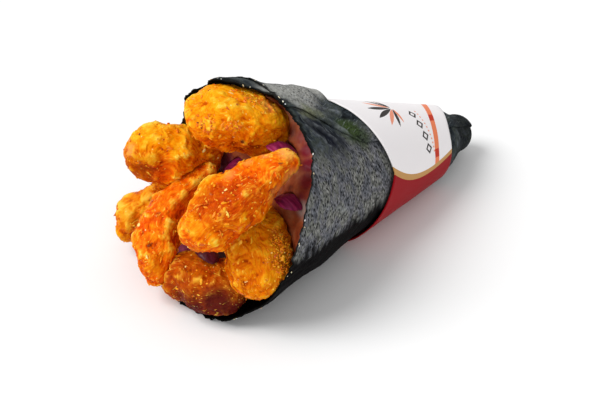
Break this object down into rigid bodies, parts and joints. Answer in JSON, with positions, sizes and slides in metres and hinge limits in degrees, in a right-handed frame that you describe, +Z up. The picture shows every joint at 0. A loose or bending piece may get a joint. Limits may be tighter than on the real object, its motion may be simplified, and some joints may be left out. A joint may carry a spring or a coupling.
{
  "type": "breaded shrimp temaki",
  "caption": "Cone of rolled nori in a printed paper sleeve, lying on its side, with breaded fried shrimps, red onion and sauced filling standing out of its open mouth.",
  "frame": {"origin": "on the surface that the temaki lies on, under the middle of its box", "axes": "+Z up, +X along the cone from the open mouth towards its tip, +Y across towards the far side"},
  "size_m": [0.14, 0.0746, 0.0656],
  "materials": {
    "nori": "pressed and dried seaweed sheet, fibrous, half glossy",
    "printed_paper": "coated paper with printed fields of white, gold, red and orange",
    "fried_crust": "deep-fried breadcrumb crust, glossy with oil, craggy",
    "red_onion": "wet cut red onion, glossy",
    "sauced_filling": "wet filling under a brown sauce, glossy"
  },
  "bodies": {
    "root": {"nori_cone": "nori", "paper_sleeve": "printed_paper", "shrimp_front": "fried_crust", "shrimp_top": "fried_crust", "shrimp_curled": "fried_crust", "shrimp_right": "fried_crust", "shrimp_left": "fried_crust", "shrimp_low_left": "fried_crust", "shrimp_bottom": "fried_crust", "onion_top": "red_onion", "onion_middle": "red_onion", "onion_side": "red_onion", "onion_low": "red_onion", "onion_left": "red_onion", "filling": "sauced_filling"}
  },
  "joints": []
}
